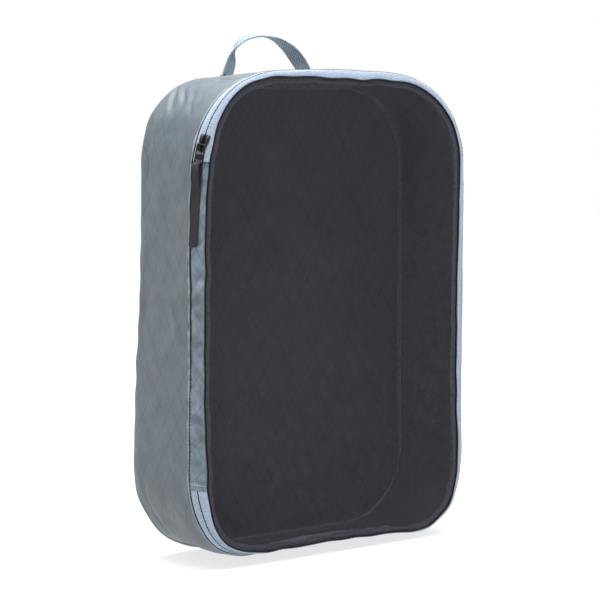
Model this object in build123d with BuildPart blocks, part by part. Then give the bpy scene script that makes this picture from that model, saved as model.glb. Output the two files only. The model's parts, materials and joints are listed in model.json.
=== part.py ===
"""A soft packing cube: a shallow zipped bag with a mesh front.

Frame: +X to the right seen from the front, the front faces -Y, +Z up.
The origin is the middle of the bottom of the whole cube. Millimetres.

A place on the bag's side is given as (out, back, surface): `out` is how far it lies
outside the seam round the mesh, `back` how far it lies behind the plane of that seam,
and `surface` how far out the bag's own outer surface lies beside it.
"""
from build123d import *
from math import cos, radians, sin
import os

os.makedirs("parts", exist_ok=True)

# Overall size
width = 260.0
body_height = 358.0
depth = 76.0
mesh_plane_y = -37.0
band_out = 10.0
band_back = 8.5
mesh_corner_radius = 60.0
back_taper = 2.0
bottom_tuck = 2.0

# Cloth and tape
panel_thickness = 1.2
tape_thickness = 0.8
binding_thickness = 2.2
binding_width = 6.0
binding_gap = 0.4
cut_reach = 30.0

# Zip: the centre line of the chain and the lean of the tapes beside it
chain_out = 6.6
chain_back = 2.4
tape_lean = 40.0
flat_tape = 3.0
bend_inset = 0.255
chain_gap = 0.65
coil_near = 0.85
coil_far = 2.4
coil_depth = 1.4
tape_end_gap = 1.0
coil_end_gap = 3.0
stop_near = 0.3
stop_far = 2.6
stop_extra_depth = 0.3
stop_length = 2.0
lid_chain_gap = 7.3
seam_allowance = 1.7

# Hinge strip on the left side
strip_low_z = 60.0
strip_high_z = 291.0
hinge_front_offset = 2.0
strip_edge_gap = 0.9
hem_height = 6.0
hem_thickness = 0.9

# Mesh window
piping_width = 1.4
piping_front = 0.6
dome_steps = ((0.0, 0.0), (22.0, 2.2), (50.0, 3.4))
edge_binding_outer = 0.3
edge_binding_inner = 5.0
edge_binding_back = 2.0

# Care label
label_width = 8.0
label_height = 56.0
label_thickness = 1.0
label_low_z = 145.0
label_inset = 2.0
label_set_back = 2.0

# Slider, link and pull tab
slider_angle = 13.9
slider_half_arc = 5.2
slider_half_width = 4.4
slider_gap = 0.35
slider_plate = 1.05
slider_wall = 0.8
slider_wall_low = -0.3
slider_floor = 0.95
slider_floor_half_width = 3.0
slider_post_half_width = 0.45
slider_post_share = 0.8
slider_join = 0.1
bridge_bar_height = 3.3
bridge_bar_down = 1.2
bridge_length = 8.0
bridge_opening = 5.2
bridge_half_width = 1.2
bridge_roof = 1.0
bridge_play = 0.45
bridge_sunk = 0.2
bridge_round = 0.4
link_width = 7.8
link_length = 15.0
link_wire = 0.65
link_corner = 0.9
link_lean = 10.0
crossbar_height = 3.4
crossbar_half_thickness = 0.95
tab_width = 5.8
tab_thickness = 2.2
tab_length = 56.8
tab_lean = 3.5
tab_loop_radius = 2.1
tab_loop_hole = 1.2

# Carrying handle
handle_centre_x = -12.5
handle_foot_spacing = 76.0
webbing_width = 11.0
webbing_thickness = 1.6
handle_rise = 27.0
handle_back = 72.0
anchor_height = 1.6
anchor_margin = 2.0
handle_gap = 0.7

# Worked-out places
inner_half = width / 2 - band_out
inner_high = body_height - band_out
corner_x = -(inner_half - mesh_corner_radius)
corner_z = inner_high - mesh_corner_radius
lean_cos = cos(radians(tape_lean))
lean_sin = sin(radians(tape_lean))
wall_back = depth - panel_thickness
coil_top = -tape_thickness
coil_bottom = -tape_thickness - coil_depth
slider_low_z = corner_z + (mesh_corner_radius + chain_out) * sin(radians(slider_angle))
lid_chain_start_z = slider_low_z + lid_chain_gap


def on_tape(across, above):
    """The place `across` the chain line and `above` the tapes' outer faces."""
    surface = chain_out + across * lean_cos
    return (surface + above * lean_sin, chain_back + across * lean_sin - above * lean_cos, surface)


flat_lid = on_tape(-flat_tape, 0)
flat_shell = on_tape(flat_tape, 0)
outer_seam = (band_out, band_back, band_out)


def gusset_out(back):
    """How far out the gusset's outer surface lies, which narrows towards the back."""
    return band_out - back_taper * (back - band_back) / (depth - band_back)


def on_gusset(inset, back):
    """The place at a depth, `inset` from the gusset's outer surface."""
    return (gusset_out(back) - inset, back, gusset_out(back))


def outline(out, back, surface):
    """The rounded outline of the bag through one place on its side, as a flat sketch.

    Round the bottom the zip band is tucked under: its surface runs level there.
    """
    low = surface - out
    if back < band_back:
        low += bottom_tuck * (1 - surface / band_out)
    high = inner_high + out
    with BuildSketch(Plane.XZ.offset(-(mesh_plane_y + back))) as flat:
        with Locations((0, (low + high) / 2)):
            RectangleRounded(2 * (inner_half + out), high - low, mesh_corner_radius + out)
    return flat.sketch


def ring(outer, inner):
    """A closed ring round the bag, between an outer and an inner run of places."""
    for places, mode in ((outer, Mode.ADD), (inner, Mode.SUBTRACT)):
        loft([outline(*place) for place in places], ruled=True, mode=mode)


def left_block(height, mode):
    """A block reaching left and up from its place, deeper than the bag."""
    Box(2 * cut_reach, 4 * depth, height, align=(Align.MAX, Align.CENTER, Align.MIN), mode=mode)


def cut_left(low_z, high_z, from_out=-cut_reach):
    """Take away the left side between two heights."""
    right_x = -(inner_half + from_out)
    with Locations((right_x, 0, low_z)):
        left_block(high_z - low_z, Mode.SUBTRACT)


def keep_left(low_z, high_z):
    """Keep only the left side between two heights."""
    with Locations((cut_reach - inner_half, 0, low_z)):
        left_block(high_z - low_z, Mode.INTERSECT)


def finish(piece, label):
    """Name a finished piece and write its file."""
    piece.part.label = label
    export_step(piece.part, f"parts/{label}.step")


# ---------------------------------------------------------------- soft shell
with BuildPart() as back_panel:
    loft([outline(*on_gusset(0, wall_back)), outline(*on_gusset(0, depth))], ruled=True)
finish(back_panel, "back_panel")

with BuildPart() as side_gusset:
    ring(
        (on_gusset(0, band_back), on_gusset(0, wall_back)),
        (on_gusset(panel_thickness, band_back), on_gusset(panel_thickness, wall_back)),
    )
finish(side_gusset, "side_gusset")


def seam_binding(front, back):
    """A bound seam allowance lying on the inside of the gusset."""
    inner = panel_thickness + binding_thickness
    ring(
        (on_gusset(panel_thickness, front), on_gusset(panel_thickness, back)),
        (on_gusset(inner, front), on_gusset(inner, back)),
    )


with BuildPart() as back_seam_binding:
    seam_binding(wall_back - binding_width, wall_back)
finish(back_seam_binding, "back_seam_binding")

with BuildPart() as front_seam_binding:
    seam_binding(band_back + binding_gap, band_back + binding_width)
finish(front_seam_binding, "front_seam_binding")

# The strip leans from the seam on the gusset to just short of the mesh edge.
strip_run = (band_out**2 + band_back**2) ** 0.5
strip_slope = (band_out / strip_run, band_back / strip_run)
strip_inner_end = (band_out - tape_thickness / strip_slope[1], band_back, band_out)


def strip_edge(height):
    """The strip's front edge moved `height` off its outer face."""
    back = strip_edge_gap * band_back / band_out - height * strip_slope[0]
    return (strip_edge_gap + height * strip_slope[1], back, strip_edge_gap)


with BuildPart() as hinge_strip:
    ring(
        (strip_edge(0), outer_seam),
        (strip_edge(0), strip_edge(-tape_thickness), strip_inner_end),
    )
    keep_left(strip_low_z, strip_high_z)
finish(hinge_strip, "hinge_strip")

hem_end = (band_out, band_back - hem_thickness / strip_slope[0], band_out)
with BuildPart() as hinge_strip_hem:
    ring(
        (strip_edge(hem_thickness), hem_end, outer_seam),
        (strip_edge(hem_thickness), strip_edge(0), outer_seam),
    )
    keep_left(strip_low_z, strip_low_z + hem_height)
finish(hinge_strip_hem, "hinge_strip_hem")

# ---------------------------------------------------------------- zip, shell side
shell_inner_bend = on_tape(flat_tape - bend_inset, -tape_thickness)
with BuildPart() as shell_zipper_tape:
    ring(
        (on_tape(chain_gap, 0), flat_shell, outer_seam),
        (
            on_tape(chain_gap, 0),
            on_tape(chain_gap, -tape_thickness),
            shell_inner_bend,
            (band_out - tape_thickness, band_back, band_out),
        ),
    )
    cut_left(strip_low_z - tape_end_gap, strip_high_z + tape_end_gap)
finish(shell_zipper_tape, "shell_zipper_tape")


def coil_ring(side):
    """A bead under one tape, standing for one half of the coil chain."""
    near = side * coil_near
    far = side * coil_far
    low = min(near, far)
    high = max(near, far)
    ring(
        (on_tape(low, coil_top), on_tape(high, coil_top), on_tape(high, coil_bottom)),
        (on_tape(low, coil_top), on_tape(low, coil_bottom), on_tape(high, coil_bottom)),
    )


with BuildPart() as shell_zipper_coil:
    coil_ring(1)
    cut_left(strip_low_z - coil_end_gap, strip_high_z + coil_end_gap)
finish(shell_zipper_coil, "shell_zipper_coil")


def stop_block(height):
    """A small block closing the end of the shell's coil."""
    low = coil_bottom - stop_extra_depth
    ring(
        (on_tape(stop_near, coil_top), on_tape(stop_far, coil_top), on_tape(stop_far, low)),
        (on_tape(stop_near, coil_top), on_tape(stop_near, low), on_tape(stop_far, low)),
    )
    keep_left(height, height + stop_length)


with BuildPart() as zipper_start_stop:
    stop_block(strip_low_z - coil_end_gap)
finish(zipper_start_stop, "zipper_start_stop")

with BuildPart() as zipper_end_stop:
    stop_block(strip_high_z + tape_end_gap)
finish(zipper_end_stop, "zipper_end_stop")

# ---------------------------------------------------------------- lid
def panel_ring(outer_out, inner_out, front, back):
    """A flat ring in the plane of the mesh."""
    ring(
        ((outer_out, front, 0), (outer_out, back, 0)),
        ((inner_out, front, 0), (inner_out, back, 0)),
    )


with BuildPart() as mesh_window:
    crown_first = tuple(reversed(dome_steps))
    outer = [(-piping_width - inset, -rise, 0) for inset, rise in crown_first]
    inner = [(out - tape_thickness, back + tape_thickness, 0) for out, back, _ in outer]
    ring(outer + [(-piping_width, tape_thickness, 0)], inner)
finish(mesh_window, "mesh_window")

with BuildPart() as mesh_edge_piping:
    panel_ring(0.0, -piping_width, -piping_front, tape_thickness)
finish(mesh_edge_piping, "mesh_edge_piping")

with BuildPart() as mesh_edge_binding:
    panel_ring(-edge_binding_outer, -edge_binding_inner, tape_thickness, edge_binding_back)
finish(mesh_edge_binding, "mesh_edge_binding")

lid_inner_bend = on_tape(bend_inset - flat_tape, -tape_thickness)
lid_edge = (0.0, 0.0, 0.0)
with BuildPart() as lid_zipper_tape:
    ring(
        (lid_edge, flat_lid, on_tape(-chain_gap, 0), on_tape(-chain_gap, -tape_thickness)),
        (lid_edge, (0.0, tape_thickness, 0.0), lid_inner_bend, on_tape(-chain_gap, -tape_thickness)),
    )
    cut_left(strip_low_z - tape_end_gap, strip_high_z + tape_end_gap)
    cut_left(strip_high_z, lid_chain_start_z, from_out=seam_allowance)
finish(lid_zipper_tape, "lid_zipper_tape")

with BuildPart() as lid_zipper_coil:
    coil_ring(-1)
    cut_left(strip_low_z - coil_end_gap, lid_chain_start_z + tape_end_gap)
finish(lid_zipper_coil, "lid_zipper_coil")

with BuildPart() as care_label:
    with Locations((inner_half - label_inset, mesh_plane_y + label_set_back, label_low_z)):
        Box(label_width, label_thickness, label_height, align=(Align.MAX, Align.MIN, Align.MIN))
finish(care_label, "care_label")

# ---------------------------------------------------------------- slider and pull
corner_axis = Axis((corner_x, 0, corner_z), (0, 1, 0))
radial = Vector(-cos(radians(slider_angle)), 0, sin(radians(slider_angle)))
backward = Vector(0, 1, 0)
across_slider = radial * lean_cos + backward * lean_sin
off_slider = radial * lean_sin - backward * lean_cos
down_slider = Vector(-sin(radians(slider_angle)), 0, -cos(radians(slider_angle)))
chain_radius = mesh_corner_radius + chain_out
slider_centre = Vector(corner_x, mesh_plane_y + chain_back, corner_z) + radial * chain_radius


def corner_plane(angle):
    """The plane through the corner's axis at an angle up from the left."""
    outward = (-cos(radians(angle)), 0, sin(radians(angle)))
    forward_normal = (-sin(radians(angle)), 0, -cos(radians(angle)))
    return Plane(origin=(corner_x, mesh_plane_y, corner_z), x_dir=outward, z_dir=forward_normal)


def slider_bar(low_across, high_across, low_above, high_above, arc):
    """One straight-sided bar of the slider, turned along the corner from its lower end."""
    corners = (
        (low_across, low_above),
        (high_across, low_above),
        (high_across, high_above),
        (low_across, high_above),
    )
    places = [on_tape(*corner) for corner in corners]
    with BuildSketch(corner_plane(slider_angle - slider_half_arc)) as section:
        Polygon(*[(mesh_corner_radius + out, back) for out, back, _ in places], align=None)
    revolve(section.sketch, axis=corner_axis, revolution_arc=arc)


plate_low = slider_gap
plate_high = slider_gap + slider_plate
floor_high = coil_bottom - slider_gap
floor_low = floor_high - slider_floor
full_arc = 2 * slider_half_arc
post_low = floor_high - slider_join
post_high = plate_low + slider_join
post_arc = slider_half_arc * slider_post_share
bridge_base = plate_high - bridge_sunk
bridge_opening_top = bridge_bar_height + link_wire + bridge_play
bridge_top = bridge_opening_top + bridge_roof
with BuildPart() as slider_body:
    slider_bar(-slider_half_width, slider_half_width, plate_low, plate_high, full_arc)
    slider_bar(-slider_half_width, slider_wall - slider_half_width, slider_wall_low, plate_high, full_arc)
    slider_bar(slider_half_width - slider_wall, slider_half_width, slider_wall_low, plate_high, full_arc)
    slider_bar(-slider_floor_half_width, slider_floor_half_width, floor_low, floor_high, full_arc)
    slider_bar(-slider_post_half_width, slider_post_half_width, post_low, post_high, post_arc)
    with BuildSketch(Plane(origin=slider_centre, x_dir=down_slider, z_dir=across_slider)) as arch:
        with Locations((0, (bridge_base + bridge_top) / 2)):
            Rectangle(bridge_length, bridge_top - bridge_base)
        fillet(arch.vertices().group_by(Axis.X)[0], bridge_round)
        with Locations((0, (plate_high + bridge_opening_top) / 2)):
            Rectangle(bridge_opening, bridge_opening_top - plate_high, mode=Mode.SUBTRACT)
    extrude(amount=bridge_half_width, both=True)
finish(slider_body, "slider_body")

# The pull hangs against the band, the link and the strap each leaning a little to the back.
off_pull = Vector(-lean_sin, -lean_cos, 0)
level_pull = Vector(-lean_cos, lean_sin, 0)


def across_leaning(lean):
    """The direction across a part of the pull that leans back from upright."""
    return level_pull * cos(radians(lean)) + Vector(0, 0, 1) * sin(radians(lean))


across_link = across_leaning(link_lean)
across_tab = across_leaning(tab_lean)
bridge_bar = slider_centre + off_slider * bridge_bar_height + down_slider * bridge_bar_down
lower_bar = bridge_bar + off_pull.cross(across_link) * link_length

with BuildPart() as pull_link:
    middle = (bridge_bar + lower_bar) * 0.5
    link_plane = Plane(origin=middle, x_dir=across_link, z_dir=off_pull)
    with BuildSketch(link_plane, mode=Mode.PRIVATE) as loop:
        RectangleRounded(link_width, link_length, link_corner)
    path = loop.sketch.face().outer_wire()
    with BuildSketch(Plane(origin=path @ 0, z_dir=path % 0)) as wire:
        Circle(link_wire)
    sweep(path=path)
    with BuildSketch(link_plane) as crossbar:
        Rectangle(link_width, crossbar_height)
    extrude(amount=crossbar_half_thickness, both=True)
finish(pull_link, "pull_link")

with BuildPart() as pull_tab:
    with BuildSketch(Plane(origin=lower_bar, x_dir=off_pull, z_dir=across_tab)) as strap:
        Circle(tab_loop_radius)
        with Locations((0, -tab_length / 2)):
            Rectangle(tab_thickness, tab_length)
        Circle(tab_loop_hole, mode=Mode.SUBTRACT)
    extrude(amount=tab_width / 2, both=True)
finish(pull_tab, "pull_tab")

# ---------------------------------------------------------------- handle
handle_y = mesh_plane_y + handle_back
gusset_top_z = inner_high + gusset_out(handle_back - webbing_thickness)
foot_xs = (handle_centre_x - handle_foot_spacing / 2, handle_centre_x + handle_foot_spacing / 2)

for side, foot_x in zip(("left", "right"), foot_xs):
    with BuildPart() as anchor:
        with Locations((foot_x, handle_y, gusset_top_z)):
            Box(
                webbing_width + anchor_margin,
                2 * webbing_thickness,
                anchor_height,
                align=(Align.CENTER, Align.CENTER, Align.MIN),
            )
    finish(anchor, f"handle_anchor_{side}")

foot_z = gusset_top_z + anchor_height + handle_gap
handle_axis_z = foot_z + webbing_thickness / 2
with BuildPart() as handle_webbing:
    half = webbing_width / 2
    with BuildSketch(Plane.XZ.offset(-handle_y)) as arch:
        with BuildLine():
            left_out = (foot_xs[0] - half, foot_z)
            left_in = (foot_xs[0] + half, foot_z)
            right_in = (foot_xs[1] - half, foot_z)
            right_out = (foot_xs[1] + half, foot_z)
            ThreePointArc(left_out, (handle_centre_x, foot_z + handle_rise), right_out)
            Line(right_out, right_in)
            ThreePointArc(right_in, (handle_centre_x, foot_z + handle_rise - webbing_width), left_in)
            Line(left_in, left_out)
        make_face()
    extrude(amount=webbing_thickness / 2, both=True)
finish(handle_webbing, "handle_webbing")

print("lid hinge at", (-inner_half, mesh_plane_y - hinge_front_offset))
print("slider axis at", (corner_x, corner_z))
print("bridge bar at", tuple(bridge_bar), "lower bar at", tuple(lower_bar))
print("pull axis along", tuple(across_link))
print("handle axis at y, z", handle_y, handle_axis_z)
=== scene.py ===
"""The packing cube's looks: cloth, mesh, zip, webbing and pull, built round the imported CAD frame.

Lengths are metres in the row frame: +X right seen from the front, -Y towards the front, +Z up.
`out` is how far a place lies outside the seam round the mesh, `back` how far behind that seam.
"""
import bpy
import json
import numpy as np
from math import asin, cos, pi, radians, sin, sqrt
from mathutils import Matrix, Vector


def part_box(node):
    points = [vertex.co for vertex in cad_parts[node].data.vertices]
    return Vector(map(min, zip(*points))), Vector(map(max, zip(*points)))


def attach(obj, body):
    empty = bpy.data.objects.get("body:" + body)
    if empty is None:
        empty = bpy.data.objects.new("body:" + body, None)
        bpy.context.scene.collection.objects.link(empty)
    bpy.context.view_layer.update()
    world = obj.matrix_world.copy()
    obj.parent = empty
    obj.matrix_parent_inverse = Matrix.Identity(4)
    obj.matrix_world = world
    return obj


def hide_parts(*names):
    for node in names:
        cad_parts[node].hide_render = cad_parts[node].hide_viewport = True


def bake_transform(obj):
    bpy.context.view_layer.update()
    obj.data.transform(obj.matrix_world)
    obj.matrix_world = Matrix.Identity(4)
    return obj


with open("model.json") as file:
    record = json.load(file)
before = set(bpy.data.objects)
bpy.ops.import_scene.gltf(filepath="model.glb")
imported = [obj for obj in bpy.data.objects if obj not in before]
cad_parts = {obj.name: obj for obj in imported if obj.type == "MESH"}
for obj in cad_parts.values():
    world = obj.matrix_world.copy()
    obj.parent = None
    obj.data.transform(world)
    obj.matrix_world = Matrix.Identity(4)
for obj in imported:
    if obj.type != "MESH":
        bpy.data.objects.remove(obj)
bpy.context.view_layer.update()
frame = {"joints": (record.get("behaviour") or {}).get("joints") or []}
MM = 0.001

# ---- places from the frame
seam_low, seam_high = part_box("mesh_edge_piping")
wall_low, wall_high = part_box("side_gusset")
back_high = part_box("back_panel")[1]
PIPING_PROUD = 0.6 * MM
seam_y = seam_low.y + PIPING_PROUD
seam_half = seam_high.x
SEAM_RADIUS = 60 * MM
BAND_OUT = wall_high.x - seam_half
BAND_BACK = wall_low.y - seam_y
DEPTH = back_high.y - seam_y
corner_x = seam_half - SEAM_RADIUS
corner_top = seam_high.z - SEAM_RADIUS
corner_foot = seam_low.z + SEAM_RADIUS
TUCK = 1 - seam_low.z / BAND_OUT
BACK_OUT = back_high.x - seam_half
joints = {joint["name"]: joint for joint in frame["joints"]}

# ---- camera
AIM = Vector((-9.4 * MM, 0, 187 * MM))
CAMERA_AZIMUTH = radians(-38.73)
CAMERA_RISE = radians(4.37)
CAMERA_DISTANCE = 1.474
LENS_MM, SENSOR_MM = 117.6, 36


def put(name, data):
    """A new object in the scene."""
    thing = bpy.data.objects.new(name, data)
    bpy.context.scene.collection.objects.link(thing)
    return thing


def point(thing, place, direction):
    """Stand a camera or a light at a place, facing a direction."""
    thing.location = place
    thing.rotation_mode = "QUATERNION"
    thing.rotation_quaternion = direction.to_track_quat("-Z", "Y")


def make_camera():
    data = bpy.data.cameras.new("camera")
    data.lens, data.sensor_width, data.clip_start = LENS_MM, SENSOR_MM, 0.01
    camera = put("camera", data)
    level = cos(CAMERA_RISE)
    away = Vector((sin(CAMERA_AZIMUTH) * level, -cos(CAMERA_AZIMUTH) * level, sin(CAMERA_RISE)))
    point(camera, AIM + away * CAMERA_DISTANCE, -away)
    bpy.context.scene.camera = camera


make_camera()


# ---- node materials
def tint(color, share):
    return [min(1, c * share) for c in color]


class Shader:
    """A material with a Principled shader, built by short calls."""

    def __init__(self, name, color, roughness, specular, sheen=(0, 0.5), laid=True):
        self.laid = laid
        self.material = bpy.data.materials.new(name)
        self.material.use_nodes = True
        self.tree = self.material.node_tree
        self.shader = self.tree.nodes["Principled BSDF"]
        self.set("Base Color", (*color, 1))
        self.set("Roughness", roughness)
        self.set("Specular IOR Level", specular)
        self.set("Sheen Weight", sheen[0])
        self.set("Sheen Roughness", sheen[1])

    def set(self, socket, value):
        self.feed(self.shader.inputs[socket], value)

    def node(self, kind, *inputs, **settings):
        node = self.tree.nodes.new("ShaderNode" + kind)
        for setting, value in settings.items():
            setattr(node, setting, value)
        for place, value in enumerate(inputs):
            self.feed(node.inputs[place], value)
        return node

    def feed(self, socket, value):
        if isinstance(value, bpy.types.NodeSocket):
            self.tree.links.new(value, socket)
        elif value is not None:
            socket.default_value = value

    def math(self, operation, *inputs):
        return self.node("Math", *inputs, operation=operation).outputs[0]

    def flat(self):
        """The two flat coordinates laid on a piece's cloth, in metres."""
        split = self.node("SeparateXYZ", self.node("Attribute", attribute_name="flat").outputs["Vector"])
        return split.outputs[0], split.outputs[1]

    def place(self):
        """Where on the piece: its cloth's flat coordinates, or its own where none are laid."""
        if self.laid:
            return self.node("Attribute", attribute_name="flat").outputs["Vector"]
        return self.node("TexCoord").outputs["Object"]

    def texture(self, kind, scale, **settings):
        node = self.node("Tex" + kind)
        self.feed(node.inputs["Vector"], self.place())
        for socket, value in {"Scale": scale, **settings}.items():
            node.inputs[socket].default_value = value
        return node.outputs[0]

    def noise(self, scale, detail=3.0, roughness=0.55):
        return self.texture("Noise", scale, Detail=detail, Roughness=roughness)

    def ramp(self, value, low, high, from_low=0.0, from_high=1.0):
        return self.node("MapRange", value, from_low, from_high, low, high).outputs[0]

    def mix(self, share, first, second):
        node = self.tree.nodes.new("ShaderNodeMix")
        node.data_type = "RGBA"
        self.feed(node.inputs[0], share)
        for socket, value in ((node.inputs[6], first), (node.inputs[7], second)):
            self.feed(socket, value if isinstance(value, bpy.types.NodeSocket) else (*value, 1))
        return node.outputs[2]

    def shades(self, value, low, high, color, first, last):
        """A colour going from its first to its last multiple as a value goes from low to high."""
        return self.mix(self.ramp(value, 0, 1, low, high), tint(color, first), tint(color, last))

    def bump(self, height, distance_mm, strength=1.0):
        node = self.node("Bump")
        node.inputs["Strength"].default_value = strength
        node.inputs["Distance"].default_value = distance_mm * MM
        self.feed(node.inputs["Height"], height)
        before = self.shader.inputs["Normal"]
        if before.is_linked:
            self.tree.links.new(before.links[0].from_socket, node.inputs["Normal"])
        self.tree.links.new(node.outputs[0], before)

    def wave(self, value, period):
        """A smooth 0 to 1 wave along a coordinate in metres."""
        turned = self.math("MULTIPLY", value, 2 * pi / period)
        return self.math("MULTIPLY_ADD", self.math("SINE", turned), 0.5, 0.5)

    def lines(self, value, half_width):
        """1 on a thin line half way through each whole step of a value, fading to 0 beside it."""
        off = self.math("ABSOLUTE", self.math("SUBTRACT", self.math("FRACT", value), 0.5))
        return self.ramp(off, 1.0, 0.0, 0.0, half_width)


DIAMOND_TALL, DIAMOND_WIDE = 23.5 * MM, 14.2 * MM
DIAMOND_THREAD = 0.030
WEAVE = 0.42 * MM


def ripstop(name, color, line_color, roughness, fold_depth_and_shade, creased=False):
    """Ripstop nylon: a plain weave with a diamond grid of thicker threads, softly folded, with the folds' light
    and shade painted into its colour.
    """
    s = Shader(name, color, roughness, 0.4, sheen=(0.05, 0.45))
    along, across = s.flat()
    tall = s.math("DIVIDE", along, DIAMOND_TALL)
    wide = s.math("DIVIDE", across, DIAMOND_WIDE)
    threads = [s.lines(s.math(way, tall, wide), DIAMOND_THREAD) for way in ("ADD", "SUBTRACT")]
    grid = s.math("MAXIMUM", *threads)
    cloudy = s.noise(26, 4)
    folds = s.noise(75, 2, 0.4)
    # Painted shade: the colour goes lighter and darker with the same fold noise that bumps the cloth, mixed
    # with some random tone.
    uneven = s.math("MULTIPLY_ADD", folds, 0.6, s.math("MULTIPLY", cloudy, 0.4))
    if creased:
        # Painted crease shade: the colour is darkened along the crease valleys that the bump below sinks.
        ridge = s.math("ABSOLUTE", s.math("SUBTRACT", s.noise(95, 1, 0.4), 0.5))
        uneven = s.math("SUBTRACT", s.math("ADD", uneven, 0.09), ridge)
        s.bump(ridge, 9, -1.0)
    base = s.shades(uneven, 0.36, 0.64, color, 1 - fold_depth_and_shade, 1 + fold_depth_and_shade)
    base = s.mix(s.ramp(s.noise(2600, 2), 0.0, 0.25, 0.35, 0.7), base, tint(color, 0.7))
    cover = s.math("MULTIPLY", grid, s.ramp(cloudy, 0.45, 0.95, 0.35, 0.65))
    s.set("Base Color", s.mix(cover, base, line_color))
    s.set("Roughness", s.ramp(cloudy, roughness - 0.07, roughness + 0.07, 0.3, 0.7))
    weave = s.math("MULTIPLY", s.wave(along, WEAVE), s.wave(across, WEAVE))
    s.bump(s.math("MULTIPLY_ADD", grid, 2.0, weave), 0.06, 0.7)
    s.bump(s.noise(420, 3), 0.25, 0.35)
    s.bump(folds, 6 * fold_depth_and_shade)
    return s.material


def twill(name, color, dark, period):
    """Twill tape: fine slanting ribs."""
    s = Shader(name, color, 0.75, 0.2, sheen=(0.05, 0.5))
    along, across = s.flat()
    slant = s.wave(s.math("ADD", along, s.math("MULTIPLY", across, 1.4)), period)
    thread = s.wave(across, 0.5 * MM)
    base = s.shades(s.noise(700, 3), 0.4, 0.6, color, 1, 0.72)
    s.set("Base Color", s.mix(s.math("MULTIPLY", slant, 0.42), base, dark))
    s.bump(s.math("MULTIPLY_ADD", slant, -1.0, s.math("MULTIPLY", thread, 0.4)), 0.12, 0.8)
    return s.material


def herringbone(name, color, dark):
    """Webbing with slanting ribs that turn back half way across."""
    s = Shader(name, color, 0.7, 0.2, sheen=(0.05, 0.5))
    along, across = s.flat()
    folded = s.math("PINGPONG", across, 2.75 * MM)
    rib = s.wave(s.math("ADD", along, s.math("MULTIPLY", folded, 1.1)), 2.1 * MM)
    base = s.shades(s.noise(220, 3), 0.35, 0.7, color, 1, 0.88)
    s.set("Base Color", s.mix(s.math("MULTIPLY", rib, 0.85), base, dark))
    s.bump(rib, 0.22, -0.9)
    return s.material


def plain_cloth(name, color, roughness=0.85, fleck=0.25):
    """Small woven goods: bindings, thread, label cloth."""
    s = Shader(name, color, roughness, 0.2, sheen=(0.04, 0.5))
    rib = s.math("MULTIPLY", *(s.wave(way, 0.8 * MM) for way in s.flat()))
    patchy = s.noise(300, 4)
    s.set("Base Color", s.shades(patchy, 0.35, 0.7, color, 1 - fleck, 1 + fleck))
    s.bump(s.math("MULTIPLY_ADD", patchy, 0.5, rib), 0.1, 0.8)
    return s.material


def sheer_mesh(name, color, cover):
    """A sheer knitted net: mostly open between fine black threads."""
    s = Shader(name, color, 0.55, 0.25, sheen=(0.08, 0.4))
    net = s.math("MAXIMUM", *(s.wave(way, 0.9 * MM) for way in s.flat()))
    drift = s.noise(38, 3)
    fine = s.math("MULTIPLY_ADD", net, 0.16, cover - 0.1)
    s.set("Alpha", s.math("MULTIPLY_ADD", drift, 0.05, s.math("SUBTRACT", fine, 0.005)))
    s.set("Base Color", s.shades(drift, 0.3, 0.7, color, 0.8, 1.25))
    s.bump(net, 0.06, 0.6)
    return s.material


def metal(name, color, roughness):
    """Lacquered die-cast metal with faint casting grain and broad lighter and darker patches."""
    s = Shader(name, color, roughness, 0.35, laid=False)
    s.set("Metallic", 0.6)
    grain = s.noise(900, 4)
    s.set("Base Color", s.shades(s.noise(120, 3), 0.35, 0.7, color, 0.8, 1.35))
    s.set("Roughness", s.ramp(grain, roughness - 0.08, roughness + 0.12, 0.3, 0.7))
    s.bump(grain, 0.05, 0.6)
    return s.material


def strap_rubber(name, color):
    """A coated strap: matt, with a fine pebbled face."""
    s = Shader(name, color, 0.62, 0.3)
    patchy = s.noise(240, 4)
    s.set("Base Color", s.shades(patchy, 0.35, 0.7, color, 0.82, 1.3))
    s.bump(s.texture("Voronoi", 1400), 0.12, 0.7)
    s.bump(patchy, 0.3, 0.4)
    return s.material


def floor_paint(name):
    """Matt white that stays bright under a soft shadow."""
    s = Shader(name, (0.28, 0.28, 0.28), 0.7, 0.1, laid=False)
    s.set("Emission Color", (1, 1, 1, 1))
    s.set("Emission Strength", 0.72)
    s.set("Roughness", s.ramp(s.noise(9, 3), 0.66, 0.78))
    return s.material


# The last number sets both the folds' bump depth and how strongly their shade is painted into the colour; the
# strip's cloth also gets painted crease shade.
cloth_shell = ripstop("shell_ripstop", (0.093, 0.116, 0.134), (0.022, 0.031, 0.038), 0.46, 0.12)
cloth_strip = ripstop("strip_ripstop", (0.130, 0.168, 0.202), (0.048, 0.066, 0.080), 0.40, 0.32, creased=True)
tape_cloth = twill("zip_tape_twill", (0.41, 0.485, 0.60), (0.20, 0.26, 0.35), 1.1 * MM)
web_cloth = herringbone("handle_webbing_weave", (0.34, 0.41, 0.47), (0.065, 0.095, 0.125))
net_cloth = sheer_mesh("sheer_black_net", (0.012, 0.011, 0.016), 0.63)
# Black for the mesh's piping, and also for the seam's cord of painted shadow.
edge_and_gap_shadow_cloth = plain_cloth("black_edge_and_gap_shadow", (0.006, 0.006, 0.008), 0.8)
binding_cloth = plain_cloth("slate_binding", (0.240, 0.280, 0.345), 0.8)
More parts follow.
